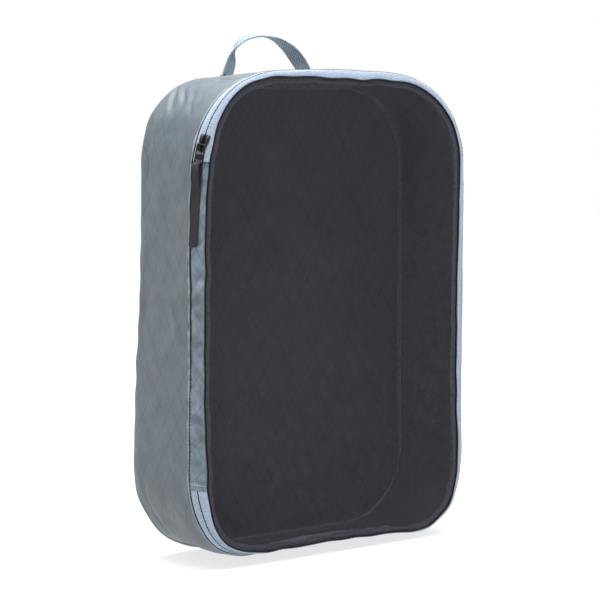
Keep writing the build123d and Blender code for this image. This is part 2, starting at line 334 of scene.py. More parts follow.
# Painted highlight: the seam's raised fold is shell cloth coloured much lighter than the shell, standing for
# the light along the fold.
fold_highlight_cloth = plain_cloth("seam_ridge", (0.24, 0.295, 0.325), 0.55, fleck=0.12)
row_thread = plain_cloth("row_thread", (0.16, 0.21, 0.30), 0.7)
label_cloth = plain_cloth("label_satin", (0.010, 0.010, 0.012), 0.45)
dark_thread = plain_cloth("dark_thread", (0.012, 0.014, 0.016), 0.7)
pale_thread = plain_cloth("pale_thread", (0.62, 0.52, 0.52), 0.7)
blue_thread = plain_cloth("blue_thread", (0.42, 0.52, 0.66), 0.7)
coil_nylon = plain_cloth("coil_nylon", (0.045, 0.055, 0.070), 0.4, fleck=0.1)
gunmetal = metal("gunmetal", (0.022, 0.018, 0.020), 0.38)
strap_coat = strap_rubber("strap_coating", (0.016, 0.0135, 0.0165))


# ---- mesh helpers
SHEET_THICK = 0.5 * MM


def finish_piece(piece, body, replaced=()):
    """Put a piece on its body, or fix it in place where it lies between two, and hide the CAD nodes it stands
    for.
    """
    if isinstance(body, str):
        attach(piece, body)
    else:
        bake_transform(piece)
    if replaced:
        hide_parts(*replaced)


def new_mesh(name, points, faces, material, flat=None):
    """A smooth-shaded mesh object, with its cloth's flat coordinates."""
    data = bpy.data.meshes.new(name)
    data.from_pydata([tuple(p) for p in points], [], [tuple(f) for f in faces])
    data.materials.append(material)
    data.polygons.foreach_set("use_smooth", [True] * len(data.polygons))
    flat = points[:, [2, 0, 1]] if flat is None else flat
    laid = np.zeros((len(points), 3), np.float32)
    laid[:, : flat.shape[1]] = flat
    data.attributes.new("flat", "FLOAT_VECTOR", "POINT").data.foreach_set("vector", laid.ravel())
    data.update()
    return put(name, data)


def grid_faces(rows, columns, closed=False):
    """Quads over a grid of points numbered row by row, each row meeting its own start if closed."""
    i, j = np.meshgrid(np.arange(rows - 1), np.arange(columns if closed else columns - 1), indexing="ij")
    i, j = i.ravel(), j.ravel()
    j2 = (j + 1) % columns
    return np.stack([i * columns + j, (i + 1) * columns + j, (i + 1) * columns + j2, i * columns + j2], 1)


def capped_faces(rings, sides, turns_back=False):
    """The skin over a row of rings, with both ends closed."""
    first, last = np.arange(sides), np.arange((rings - 1) * sides, rings * sides)
    ends = (first[::-1], last) if turns_back else (first, last[::-1])
    return [*grid_faces(rings, sides, closed=True), *ends]


def sew(name, points, flat, material, thick, body, slot, nodes, offset=-1.0, smooth=0):
    """A cloth from a (rows, columns, 3) array of points and its flat coordinates, thickened."""
    rows, columns = points.shape[:2]
    flat = np.stack([np.broadcast_to(way, (rows, columns)).ravel() for way in flat], 1)
    piece = new_mesh(name, points.reshape(-1, 3), grid_faces(rows, columns), material, flat)
    if thick:
        solid = piece.modifiers.new("thickness", "SOLIDIFY")
        solid.thickness = thick
        solid.offset = offset
        solid.use_even_offset = True
    if smooth:
        rounder = piece.modifiers.new("smooth", "SUBSURF")
        rounder.levels = rounder.render_levels = smooth
    finish_piece(piece, body, nodes)
    return piece


SINE_COUNT = 14


def sines(seed, u, v, shortest, longest):
    """Smooth, repeatable unevenness between about -1 and 1, its waves of these lengths in mm."""
    random = np.random.default_rng(seed)
    total = np.zeros(np.broadcast(u, v).shape)
    for _ in range(SINE_COUNT):
        length = random.uniform(shortest, longest) * MM
        heading = random.uniform(0, 2 * pi)
        phase = random.uniform(0, 2 * pi)
        total = total + np.sin(2 * pi * (u * cos(heading) + v * sin(heading)) / length + phase)
    return total / sqrt(SINE_COUNT)


def bell(x, centre, width):
    """A smooth bump of height 1."""
    return np.exp(-(((x - centre) / width) ** 2))


def eased(share):
    """A share held between 0 and 1 that starts and ends gently."""
    share = np.clip(share, 0, 1)
    return share * share * (3 - 2 * share)


def unit(vectors):
    return vectors / np.linalg.norm(vectors, axis=-1, keepdims=True)


def lengths(points):
    """How far along a line each of its points is."""
    return np.concatenate([[0], np.cumsum(np.linalg.norm(np.diff(points, axis=0), axis=1))])


def at_lengths(at, line, values):
    """A line's values at distances along it."""
    run = lengths(line)
    return np.stack([np.interp(at, run, values[:, k]) for k in range(values.shape[1])], 1)


def closing(u):
    """1 round the bag, fading to 0 at the bottom's middle, where a ring meets its own start."""
    return eased(np.minimum(u, ROUND - u) / (18 * MM))


# ---- the bag's outline
REACH = SEAM_RADIUS + BAND_OUT / 2
SIDE_RUN = corner_top - corner_foot
QUARTER = REACH * pi / 2
stops = np.cumsum([0, corner_x, QUARTER, SIDE_RUN, QUARTER, 2 * corner_x, QUARTER, SIDE_RUN, QUARTER, corner_x])
ROUND = stops[-1]
LEFT_FOOT, LEFT_TOP = stops[2], stops[3]
TOP_LEFT, TOP_RIGHT = stops[4], stops[5]
RIGHT_TOP = stops[6]


def rim(u, out, foot=None):
    """Points and outward directions in X and Z at distances u clockwise from the bottom's middle."""
    u = np.mod(u, ROUND)
    foot = corner_foot + TUCK * np.asarray(out) if foot is None else foot
    turn = np.interp(u, stops, np.radians([-90, -90, -180, -180, -270, -270, -360, -360, -450, -450]))
    rise = np.interp(u, stops, [0, 0, 0, 1, 1, 1, 1, 0, 0, 0])
    x = np.interp(u, stops, np.array([0, -1, -1, -1, -1, 1, 1, 1, 1, 0]) * corner_x)
    z = foot + (corner_top - foot) * rise
    nx, nz = np.cos(turn), np.sin(turn)
    return x + (SEAM_RADIUS + out) * nx, z + (SEAM_RADIUS + out) * nz, nx, nz


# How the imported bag's outline differs from the plain one, going round from the bottom's middle: the
# distance round, then how far the mesh seam, the band's outer edge and the back edge stand out (mm).
SHAPE = np.array([
    [0, -7.0, -14.5, 0.0], [60, -7.2, -13.0, 0.0], [85, -4.2, -5.0, 1.6], [112, 4.0, 4.0, 5.8],
    [150, 2.2, 4.0, 7.2], [205, 4.6, 3.5, 4.8], [260, 5.0, 2.0, 2.8], [300, 4.2, 2.0, 0.5],
    [350, 3.7, 2.0, 0.0], [375, 1.5, 0.8, -0.5], [400, -1.0, -0.6, -0.5], [425, 0.4, -2.6, 1.6],
    [450, 3.2, -3.0, 1.0], [475, 3.4, -3.4, -2.5], [500, 4.5, -1.6, -4.5], [550, 3.7, 0.8, -4.5],
    [600, 3.4, -0.5, -4.5], [625, 1.4, -4.0, -2.5], [662, 1.2, -3.2, -1.8], [700, 0.4, -2.0, -2.5],
    [750, -0.8, -1.5, -2.5], [825, -2.8, -1.5, -2.0], [900, -2.1, -2.6, -2.4], [950, -0.2, -1.2, -1.0],
    [980, 4.2, 5.2, 3.0], [1010, 0.5, 1.0, 2.0], [1035, -5.5, -9.0, 0.0],
]) * MM
SHAPE_STEPS = 1100
SHAPE_BLUR = 7 * MM


def blurred_ring(values):
    """A ring of evenly spaced values smoothed along the bag's outline."""
    spread = np.arange(SHAPE_STEPS) * ROUND / SHAPE_STEPS
    spread = np.minimum(spread, ROUND - spread)
    weights = np.exp(-0.5 * (spread / SHAPE_BLUR) ** 2)
    return np.real(np.fft.ifft(np.fft.fft(values) * np.fft.fft(weights / weights.sum())))


RING_COUNT = 12


def ring_waves(seed, u, most_waves, least_waves):
    """Unevenness between about -1 and 1 that meets itself after one round of the bag."""
    random = np.random.default_rng(seed)
    total = 0 * u
    for _ in range(RING_COUNT):
        waves = random.integers(least_waves, most_waves)
        total = total + np.sin(2 * pi * waves * u / ROUND + random.uniform(0, 2 * pi))
    return total / sqrt(RING_COUNT)


ring_places = np.arange(SHAPE_STEPS) * ROUND / SHAPE_STEPS
shape_rings = [
    blurred_ring(np.interp(ring_places, SHAPE[:, 0], SHAPE[:, k + 1], period=ROUND))
    + sway * MM * ring_waves(k + 11, ring_places, 48, 9)
    for k, sway in enumerate((0.35, 0.2, 0.25))
]


def outline_place(x, z):
    """Where points lie round the outline: distance round, reach from its straight core, outward direction."""
    side = np.abs(x)
    core_side, core_z = np.minimum(side, corner_x), np.clip(z, corner_foot, corner_top)
    reach = np.hypot(side - core_side, z - core_z)
    safe = np.maximum(reach, 1e-9)
    n_side, nz = (side - core_side) / safe, (z - core_z) / safe
    turned = QUARTER * np.arctan2(n_side, -nz) / (pi / 2)
    upper = z > (corner_foot + corner_top) / 2
    sideways = np.where(upper, 2 * corner_x - core_side, core_side)
    u = sideways + (core_z - corner_foot) + turned
    return np.where(x > 0, ROUND - u, u), reach, n_side * np.sign(x), nz


def settle(x, y, z):
    """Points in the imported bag's own shape, each a little out of or into the plain outline."""
    x, y, z = np.broadcast_arrays(x, y, z)
    u, reach, nx, nz = outline_place(x, z)
    seam, outer, rear = (np.interp(u, ring_places, ring, period=ROUND) for ring in shape_rings)
    fade = eased(reach / SEAM_RADIUS)
    a = np.clip(np.maximum((reach - SEAM_RADIUS) / BAND_OUT, (y - seam_y) / BAND_BACK), 0, 1)
    behind = np.clip((y - seam_y - BAND_BACK) / (DEPTH - BAND_BACK), 0, 1)
    b = 1 - (1 - behind) ** (1.6 + 4.5 * np.clip(-nz, 0, 1) ** 2)
    push = (seam * (1 - a) + outer * a) * (1 - b) + rear * b
    on_top = np.clip(nz, 0, 1) ** 2 * np.clip((x + 90 * MM) / (45 * MM), 0.45, 1)
    push = (push + 2.2 * MM * on_top * 4 * a * (1 - a) * (1 - b)) * fade
    y = y + 2.5 * MM * b**2 * fade * bell(u, 205 * MM, 90 * MM)
    z = np.maximum(z + push * nz, 0.3 * MM * np.clip(-nz, 0, 1))
    return np.stack([x + push * nx, y, z], -1)


def bezier(w, corners):
    """Points on a cubic curve in the (out, back) plane."""
    a, b, c, d = (np.array(corner) for corner in corners)
    w = np.asarray(w)[..., None]
    return a * (1 - w) ** 3 + 3 * b * w * (1 - w) ** 2 + 3 * c * w**2 * (1 - w) + d * w**3


ZIP_SUNK = 2.0 * MM
STRIP_RISE = 5.5 * MM
BAND_CURVE = np.array([[0, 0], [4.8, 0.1], [10.0, 3.5], [9.2, 8.2]]) * MM
STRIP_CURVE = np.array([[0.2, 0.3], [3.6, 1.2], [8.4, 4.4], [9.2, 8.2]]) * MM


STRIP_LOW_Z, STRIP_HIGH_Z = (corner.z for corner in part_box("hinge_strip"))
BAND_REACH = SEAM_RADIUS + BAND_OUT


def left_distance(z):
    """The distance round the bag of a height on its left side, at the band's outer edge."""
    foot = corner_foot + TUCK * BAND_OUT
    level = min(max(z, foot), corner_top)
    straight = SIDE_RUN * (level - foot) / (corner_top - foot)
    return LEFT_FOOT + straight + QUARTER * asin((z - level) / BAND_REACH) / (pi / 2)


STRIP_FOOT, STRIP_HEAD = left_distance(STRIP_LOW_Z), left_distance(STRIP_HIGH_Z)
SINK_FROM = ROUND + left_distance(STRIP_LOW_Z + 1.2 * MM)


def on_band(u, w, above=0.0, curve=BAND_CURVE):
    """Points of the zip band at distances u round the bag and shares w across, `above` its outer face."""
    w = np.asarray(w, float)
    if curve is BAND_CURVE:
        above = above - ZIP_SUNK * np.clip((u - SINK_FROM - STRIP_RISE * (1 - w)) / (3 * MM), 0, 1)
    spot = bezier(w, curve)
    ahead = unit(bezier(w + 1e-3, curve) - bezier(w - 1e-3, curve))
    x, z, _, _ = rim(u, spot[..., 0] + above * ahead[..., 1], corner_foot + TUCK * spot[..., 0])
    return settle(x, seam_y + spot[..., 1] - above * ahead[..., 0], z)


def around(start, end, step):
    """Evenly spaced distances round the bag, both ends included."""
    return np.linspace(start, end, max(2, int(round((end - start) / step)) + 1))


def smooth_line(places, steps):
    """Points on a smooth curve through the places (Catmull-Rom), evenly spaced or at given shares."""
    places = np.array(places, float)
    ends = [2 * places[0] - places[1], *places, 2 * places[-1] - places[-2]]
    spots = []
    for a, b, c, d in zip(ends, ends[1:], ends[2:], ends[3:]):
        t = np.linspace(0, 1, 24, endpoint=False)[:, None]
        spots.append(b + 0.5 * t * (c - a + t * (2 * a - 5 * b + 4 * c - d + t * (3 * (b - c) + d - a))))
    line = np.concatenate([*spots, places[-1:]])
    shares = np.linspace(0, 1, steps) if np.isscalar(steps) else np.asarray(steps)
    return at_lengths(lengths(line)[-1] * shares, line, line)


def ribbon(name, centres, widths, half_width, *cloth, **more):
    """A strap along a line, its width in the given directions."""
    reach = np.linspace(-1, 1, 9) * half_width
    spots = centres[:, None] + widths[:, None] * reach[None, :, None]
    return sew(name, spots, (lengths(centres)[:, None], reach), *cloth, **more)


def tube(name, centres, up, material, radius, body, nodes=(), sides=8):
    """A cord-like piece along a line, with closed ends."""
    ahead = unit(np.gradient(centres, axis=0))
    side = unit(np.cross(ahead, np.broadcast_to(up, centres.shape)))
    up = np.cross(side, ahead)
    turn = np.linspace(0, 2 * pi, sides, endpoint=False)
    radius = np.broadcast_to(radius, len(centres))[:, None, None]
    cosine, sine = np.cos(turn)[None, :, None], np.sin(turn)[None, :, None]
    spots = centres[:, None] + radius * (cosine * side[:, None] + sine * up[:, None])
    flat = np.stack(np.broadcast_arrays(lengths(centres)[:, None], turn * radius.max()), -1)
    faces = capped_faces(len(centres), sides)
    cord = new_mesh(name, spots.reshape(-1, 3), faces, material, flat.reshape(-1, 2))
    finish_piece(cord, body, nodes)


# One stitch: places along it and the thread's thickness there, as shares of the whole.
STITCH_RINGS = np.array([[-0.5, 0.35], [-0.42, 0.85], [-0.2, 1.0], [0.2, 1.0], [0.42, 0.85], [0.5, 0.35]])
STITCH_SIDES = 6
STITCH_DIP = 2.4


def stitches(name, line, up, material, sizes_mm, body):
    """A row of stitches of a pitch, length and radius on cloth, each end dipping into it."""
    pitch, long, radius = np.array(sizes_mm) * MM
    middles = np.arange(pitch / 2, lengths(line)[-1], pitch)
    at = at_lengths(middles, line, line)
    over = at_lengths(middles, line, up)
    ahead = at_lengths(middles + 0.3 * MM, line, line) - at
    still = np.linalg.norm(ahead, axis=1) < 1e-9
    ahead[still] = ahead[~still][-1] if (~still).any() else (0, 0, 1)
    ahead = unit(ahead)
    side = unit(np.cross(ahead, over))
    over = np.cross(side, ahead)
    turn = np.linspace(0, 2 * pi, STITCH_SIDES, endpoint=False)[:, None]
    share, fat = STITCH_RINGS.T[:, :, None]
    dip = -STITCH_DIP * radius * (2 * share) ** 4
    centres = at[:, None] + ahead[:, None] * share * long + over[:, None] * dip
    rounds = np.cos(turn) * side[:, None] + np.sin(turn) * over[:, None]
    points = centres[:, :, None] + radius * fat[:, :, None] * rounds[:, None]
    shape = capped_faces(len(STITCH_RINGS), STITCH_SIDES)
    count = len(STITCH_RINGS) * STITCH_SIDES
    faces = [face + k * count for k in range(len(middles)) for face in shape]
    finish_piece(new_mesh(name, points.reshape(-1, 3), faces, material), body)


def rounded_sheet(half_wide, low, high, radius, step, front):
    """A rounded rectangle of cloth in rows: its X, its Z and how far inside its edge each place is."""
    turns = np.linspace(0, pi / 2, max(8, int(radius * pi / 2 / step)))
    foot_z = low + radius * (1 - np.cos(turns))
    foot_x = half_wide - radius * (1 - np.sin(turns))
    rows = int((high - low - 2 * radius) / step)
    mid_z = np.linspace(low + radius, high - radius, rows + 1)[1:-1]
    z = np.concatenate([foot_z, mid_z, (high + low - foot_z)[::-1]])
    reach = np.concatenate([foot_x, np.full(len(mid_z), half_wide), foot_x[::-1]])
    share = np.linspace(-1, 1, int(2 * half_wide / step) | 1)
    x = reach[:, None] * (share[::-1] if front else share)
    z = np.broadcast_to(z[:, None], x.shape)
    px = np.abs(x) - (half_wide - radius)
    pz = np.abs(z - (low + high) / 2) - ((high - low) / 2 - radius)
    corner = np.hypot(np.maximum(px, 0), np.maximum(pz, 0)) + np.minimum(np.maximum(px, pz), 0)
    return x, z, radius - corner


# ---- gusset
GUSSET_PROFILE = np.array([
    [8.3, 8.2], [9.4, 8.5], [10.3, 9.6], [10.1, 11.4], [9.8, 14.5], [9.6, 24], [9.2, 40],
    [8.8, 56], [8.3, 68], [7.9, 72.6], [7.1, 75.2], [5.6, 76.0],
]) * MM
GUSSET_FINE = 0.8 * MM
GUSSET_STEP = 2.0 * MM


def crease(u, v, stop, on, back, heading, long, wide, deep):
    """A fold in the cloth: a valley with a soft ridge each side."""
    du = (np.mod(u - stop - on * MM + ROUND / 2, ROUND) - ROUND / 2) / MM
    dv = v / MM - back
    p = (du * cos(heading) + dv * sin(heading)) / long
    q = (-du * sin(heading) + dv * cos(heading)) / wide
    return deep * MM * np.exp(-(p**4)) * (0.30 * np.exp(-((np.abs(q) - 1.9) ** 2)) - np.exp(-(q**2)))


TOP_LEFT_MIDDLE = LEFT_TOP + QUARTER * 0.50
# Folds in the gusset, in mm: a stop and the distance on from it, the distance back, the heading in
# radians, and the fold's length, width and depth.
FOLDS = [
    (TOP_LEFT_MIDDLE, 1, 61, 0.66, 16, 1.9, 1.7),
    (TOP_LEFT_MIDDLE, 3, 50, 0.76, 10, 1.7, 1.5),
    (TOP_LEFT_MIDDLE, -4, 34, 0.60, 13, 1.8, 0.9),
    (LEFT_TOP, 6, 66, 0.12, 16, 2.4, 1.0),
    (TOP_LEFT, -26, 25, 1.78, 9, 2.0, 2.2),
    (LEFT_FOOT, 112, 27, 0.35, 13, 4.0, -1.1),
    (TOP_RIGHT, 14, 30, 1.2, 13, 2.4, 0.9),
    (RIGHT_TOP, -20, 58, 0.1, 22, 2.4, 1.1),
    (LEFT_FOOT, -30, 60, 0.1, 20, 2.6, 0.8),
]


def gusset_wrinkles(u, v):
    """How far the gusset stands off its smooth shape, in metres."""
    inside = np.clip((v - 10 * MM) / (6 * MM), 0, 1) * np.clip((DEPTH - 1 * MM - v) / (7 * MM), 0, 1)
    broad = 0.55 * MM * sines(3, u, v, 55, 150) + 0.22 * MM * sines(4, u, v, 22, 45)
    fine = 0.08 * MM * sines(5, u, v * 0.6, 7, 13)
    level_top = bell(u, TOP_LEFT + 8 * MM, 32 * MM)
    folds = sum(crease(u, v, *fold) for fold in FOLDS)
    near_seam = bell(v, 15 * MM, 5 * MM)
    puckers = 0.16 * MM * np.sin(2 * pi * u / (8.3 * MM) + 2.2 * sines(8, u, 0 * u, 30, 70))
    puckers = puckers * near_seam * (0.35 + bell(u, LEFT_FOOT + 92 * MM, 26 * MM) * 1.8)
    back_ripple = 0.5 * MM * sines(9, u, 0 * u, 24, 60) * bell(v, DEPTH - 9 * MM, 6 * MM)
    loose = (broad + fine) * (1 - 0.75 * level_top) + folds
    return (loose * inside + puckers + back_ripple) * closing(u)


def build_gusset():
    u = around(0, ROUND, GUSSET_STEP)
    run = lengths(smooth_line(GUSSET_PROFILE, 400))[-1]
    front = np.arange(0, 7 * MM, GUSSET_FINE)
    rear = run - np.arange(6 * MM, 0, -GUSSET_FINE)
    middle = np.linspace(front[-1], rear[0], int((rear[0] - front[-1]) / GUSSET_STEP) + 1)[1:-1]
    share = np.concatenate([front, middle, rear, [run]]) / run
    profile = smooth_line(GUSSET_PROFILE, share)
    uu, out = np.meshgrid(u, profile[:, 0], indexing="ij")
    back = np.broadcast_to(profile[:, 1], uu.shape)
    proud = gusset_wrinkles(uu, back)
    x, z, _, nz = rim(uu, out + proud, corner_foot + TUCK * BAND_OUT + 0 * out)
    z = np.maximum(z, 0.35 * MM * np.clip(-nz, 0, 1) ** 2)
    points = settle(x, seam_y + back, z)
    gusset = sew("gusset_cloth", points, (uu, share * run), cloth_shell, SHEET_THICK,
                 "shell", "shell_cloth", ["side_gusset"])


build_gusset()


# ---- back
def build_back():
    inset = 2.6 * MM
    half = BACK_OUT + seam_half - inset
    foot = corner_foot + TUCK * BAND_OUT
    radius = SEAM_RADIUS + BACK_OUT - inset
    x, z, edge = rounded_sheet(half, foot - radius, corner_top + radius, radius, 3.2 * MM, front=False)
    puff = 0.9 * MM * (1 - np.exp(-edge / (3.5 * MM))) - 1.2 * MM
    broad = 0.9 * MM * sines(21, x, z, 80, 200) + 0.3 * MM * sines(22, x, z, 30, 60)
    y = back_high.y + puff + broad * np.clip(edge / (30 * MM), 0, 1)
    back = sew("back_cloth", settle(x, y, z), (z, x), cloth_shell, SHEET_THICK,
               "shell", "shell_cloth", ["back_panel"])


build_back()


# ---- zip band
ZIP_FROM = left_distance(STRIP_HIGH_Z + 0.2 * MM)
ZIP_TO = ROUND + left_distance(STRIP_LOW_Z + 12 * MM)
CHAIN_HALF_GAP = 0.026
TAPE_THICK = 0.7 * MM
ZIP_STEP = 2.2 * MM
BAND_ACROSS = 14 * MM


def build_tape(name, node, body, low_share, high_share, seed):
    """A zip tape from the chain out to its seam, with a sewn tape's slight wander."""
    u = around(ZIP_FROM, ZIP_TO, ZIP_STEP)
    shares = low_share + (high_share - low_share) * (1 - np.cos(np.linspace(0, pi, 11))) / 2
    uu, ww = np.meshgrid(u, shares, indexing="ij")
    reach = np.clip(np.abs(ww - 0.5) / 0.5, 0, 1)
    wander = 0.16 * MM * sines(seed, uu, 0 * uu, 18, 60)
    points = on_band(uu, ww, wander * reach * (1 - reach) * 4 + 0.25 * MM * np.sin(pi * reach))
    flat = (uu, (ww - 0.5) * BAND_ACROSS)
    sew(name, points, flat, tape_cloth, TAPE_THICK, body, "zip_tape", [node], smooth=1)


build_tape("lid_tape", "lid_zipper_tape", "lid", 0.02, 0.5 - CHAIN_HALF_GAP, 31)
build_tape("shell_tape", "shell_zipper_tape", "shell", 0.5 + CHAIN_HALF_GAP, 1.0, 32)


def across_chain(u, across, above):
    """Points at a distance across the chain line and above the tapes' outer face."""
    span = np.linalg.norm(bezier(0.51, BAND_CURVE) - bezier(0.49, BAND_CURVE)) / 0.02
    return on_band(u, 0.5 + across / span, above)


COIL_PITCH = 1.45 * MM
COIL_WIRE = 0.24 * MM
COIL_TURN_POINTS = 9


def build_coil(name, node, body, side):
    """A nylon coil: one long helix sewn along the tape's inner face."""
    turns = int((ZIP_TO - ZIP_FROM - 4 * MM) / COIL_PITCH)
    turn = np.arange(turns * COIL_TURN_POINTS) * 2 * pi / COIL_TURN_POINTS
    u = ZIP_FROM + 2 * MM + COIL_PITCH * turn / (2 * pi) + (0.5 * COIL_PITCH if side > 0 else 0)
    across = side * (1.15 * MM - 1.0 * MM * np.cos(turn))
    above = -TAPE_THICK - 0.72 * MM + 0.45 * MM * np.sin(turn)
    helix = across_chain(u, across, above)
    tube(name, helix, (0.0, 1.0, 0.0), coil_nylon, COIL_WIRE, body, [node], sides=5)


build_coil("lid_coil", "lid_zipper_coil", "lid", -1)
build_coil("shell_coil", "shell_zipper_coil", "shell", 1)
STOP_RINGS, STOP_SIDES = 7, 18


def build_stop(name, node, u):
    """A crimped metal staple round both tape edges."""
    u = u + np.linspace(-1.1, 1.1, STOP_RINGS) * MM
    turn = np.linspace(0, 2 * pi, STOP_SIDES, endpoint=False)
    uu, tt = np.meshgrid(u, turn, indexing="ij")
    swell = np.sqrt(np.clip(1 - ((uu - u.mean()) / (1.35 * MM)) ** 2, 0, 1))
    across, above = (np.sign(way) * np.abs(way) ** 0.6 * swell for way in (np.cos(tt), np.sin(tt)))
    points = across_chain(uu, 2.1 * MM * across, 0.75 * MM * above - 0.25 * MM)
    faces = capped_faces(STOP_RINGS, STOP_SIDES, turns_back=True)
    finish_piece(new_mesh(name, points.reshape(-1, 3), faces, gunmetal), "shell", [node])


build_stop("end_stop", "zipper_end_stop", ZIP_FROM + 2.5 * MM)
build_stop("start_stop", "zipper_start_stop", ZIP_TO - 2.5 * MM)


def band_line(start, end, step, share, above):
    """A line along the band and the directions out of it."""
    u = around(start, end, step)
    line = on_band(u, share, above)
    return line, on_band(u, share, above + 1 * MM) - line


def tape_seams():
    """The rows of sewing that hold the coils to the tapes, and the dark thread between the coils."""
    for body, row, share in (
        ("lid", "inner", 0.40), ("lid", "outer", 0.30), ("shell", "inner", 0.60), ("shell", "outer", 0.69),
    ):
        line, up = band_line(ZIP_FROM + 4 * MM, ZIP_TO - 6 * MM, 1.5 * MM, share, 0.23 * MM)
        name = f"{body}_tape_stitches_{row}"
        stitches(name, line, up, row_thread, (1.9, 1.0, 0.13), body)
    line, up = band_line(ZIP_FROM + 9 * MM, ZIP_TO - 6 * MM, 1.5 * MM, 0.5, -0.1 * MM)
    stitches("chain_thread", line, up, dark_thread, (2.6, 2.1, 0.40), "lid")


tape_seams()


def build_outer_seam():
    """The seam between gusset and band: a puckered fold all round in a painted highlight colour, a black cord
    of painted shadow in its gap, and dark thread beside it.
    """
    line, up = band_line(0, ROUND, 2 * MM, 1.03, 0.25 * MM)
    u = around(0, ROUND, 2 * MM)
    gathered = bell(u, LEFT_FOOT + 120 * MM, 60 * MM)
    swell = 0.8 + 0.25 * ring_waves(81, u, 90, 30) + gathered * (0.25 + 0.4 * ring_waves(82, u, 130, 70))
    # Painted highlight: the fold is coloured lighter than the gusset to stand for the light along it.
    tube("outer_seam_ridge", line, up, fold_highlight_cloth, np.clip(swell, 0.45, 1.8) * MM, "shell")
    # Painted shadow: a black cord in the seam's gap where there is only shade, its radius changing round the
    # bag and thin where the stitches run.
    line, up = band_line(0, ROUND, 2 * MM, 0.93, 0.3 * MM)
    after_foot = STRIP_FOOT + np.array([-20, 0, 80, 110]) * MM
    places = [0, *after_foot, STRIP_HEAD, STRIP_HEAD + 15 * MM]
    wide = np.interp(u, places, [0.40, 0.42, 0.15, 0.15, 0.62, 0.62, 0.25])
    tube("outer_seam_gap_shadow", line, up, edge_and_gap_shadow_cloth, wide * MM, "shell")
    line, up = band_line(STRIP_FOOT - 10 * MM, STRIP_FOOT + 115 * MM, 2 * MM, 0.93, 0.3 * MM)
    stitches("outer_seam_stitches", line, up, dark_thread, (2.7, 1.9, 0.42), "shell")


build_outer_seam()


# ---- hinge strip
HINGE_Z = 0.176
HINGE = ("shell", "lid", Vector((wall_low.x, wall_low.y, HINGE_Z)), Vector((seam_low.x, seam_y, HINGE_Z)))
STRIP_ACROSS = 13 * MM
HEM_TALL = 6 * MM
HEM_PROUD = 0.95 * MM


def strip_relief(u, w):
    """Puckers where the strip is sewn, and soft slanting folds between the two seams."""
    z = u - left_distance(0.15)
    span = np.sin(pi * np.clip(w, 0, 1))
    bent = 1.8 * sines(41, u, 0 * u, 25, 60)
    gather = 0.28 * MM * np.sin(2 * pi * (u + 9 * MM * w) / (9.2 * MM) + bent)
    gather = gather * bell(w, 0.8, 0.2) * (0.3 + 1.3 * bell(z, 0, 20 * MM))
    tucks = sum(bell(z + 13 * MM * (w - 0.8), at * MM, 1.7 * MM) for at in (-9.0, -1.0, 6.5))
    slanted = 1.15 * MM * sines(42, u + 11 * MM * w, w * 9 * MM, 12, 30)
    broad = 0.5 * MM * sines(43, u - 8 * MM * w, w * 14 * MM, 40, 90)
    calm = 0.3 + 0.7 * np.clip((u - STRIP_FOOT - 8 * MM) / (12 * MM), 0, 1)
    return gather * calm - 0.9 * MM * tucks * bell(w, 0.75, 0.25) + ((slanted + broad) * calm + 0.9 * MM) * span


def strip_points(u, w, proud=0.0):
    return on_band(u, w, strip_relief(u, w) + proud, STRIP_CURVE)


def strip_rise(w):
    """How much higher the strip's foot is towards the mesh."""
    return STRIP_RISE * (1 - w)


def strip_piece(name, node, low, high, edge, slanted_end, thick, proud=0.0, smooth=0):
    """Cloth on the strip's curve; its foot, and its end if asked, rise towards the mesh."""
    steps = around(0, 1, 1.6 * MM / (high - low))
    t, ww = np.meshgrid(steps, np.linspace(edge, 1 - edge, 15), indexing="ij")
    start = low + strip_rise(ww)
    uu = start + (high + slanted_end * strip_rise(ww) - start) * t
    points = strip_points(uu, ww, proud * np.clip((1 - ww) / 0.16, 0.15, 1))
    flat = (uu, ww * STRIP_ACROSS)
    return sew(name, points, flat, cloth_strip, thick, HINGE, "strip_cloth", [node], smooth=smooth)


def build_strip():
    strip = strip_piece("hinge_strip_cloth", "hinge_strip", STRIP_FOOT, STRIP_HEAD, 0, False, 0.45 * MM)
    hem_foot, hem_top = STRIP_FOOT - 0.3 * MM, STRIP_FOOT + HEM_TALL
    strip_piece("hinge_strip_hem_cloth", "hinge_strip_hem", hem_foot, hem_top, 0.02, True, 0.8 * MM,
                HEM_PROUD, smooth=1)
    w = np.linspace(0.06, 0.86, 30)
    at = STRIP_FOOT + 4.0 * MM + strip_rise(w)
    line = strip_points(at, w, HEM_PROUD + 0.17 * MM)
    up = strip_points(at, w, HEM_PROUD + 1.17 * MM) - line
    stitches("hinge_hem_stitches", line, up, pale_thread, (1.9, 0.95, 0.21), HINGE)


build_strip()


# ---- mesh front
RING_STEP = 2.2 * MM


def wavy_ring(name, node, body, inner_mm, outer_mm, back, seed, wave_mm):
    """A soft binding tape round the inside of a seam, its free edge wandering."""
    inner, outer, wave = inner_mm * MM, outer_mm * MM, wave_mm * MM
    u = around(0, ROUND, RING_STEP)
    uu, ss = np.meshgrid(u, np.linspace(0, 1, 7), indexing="ij")
    low = bell(np.mod(uu + ROUND / 2, ROUND), ROUND / 2, 170 * MM)
    wander = (closing(u) * sines(seed, u, 0 * u, 26, 90))[:, None]
    flutter = (closing(u) * sines(seed + 1, u, 0 * u, 14, 40))[:, None]
    out = outer + (inner - outer) * ss + wander * wave * 0.7 * ss * (0.6 + low)
    y = seam_y + back + ss * wave * flutter * (0.5 + low)
    x, z, _, _ = rim(uu, out, corner_foot + TUCK * np.clip(out, 0, BAND_OUT))
    sew(name, settle(x, y, z), (uu, ss * (outer - inner)), binding_cloth, SHEET_THICK,
        body, "dark_binding", [node], offset=0.0)


wavy_ring("mesh_edge_tape", "mesh_edge_binding", "lid", -5.0, -0.4, 1.4 * MM, 51, 0.7)


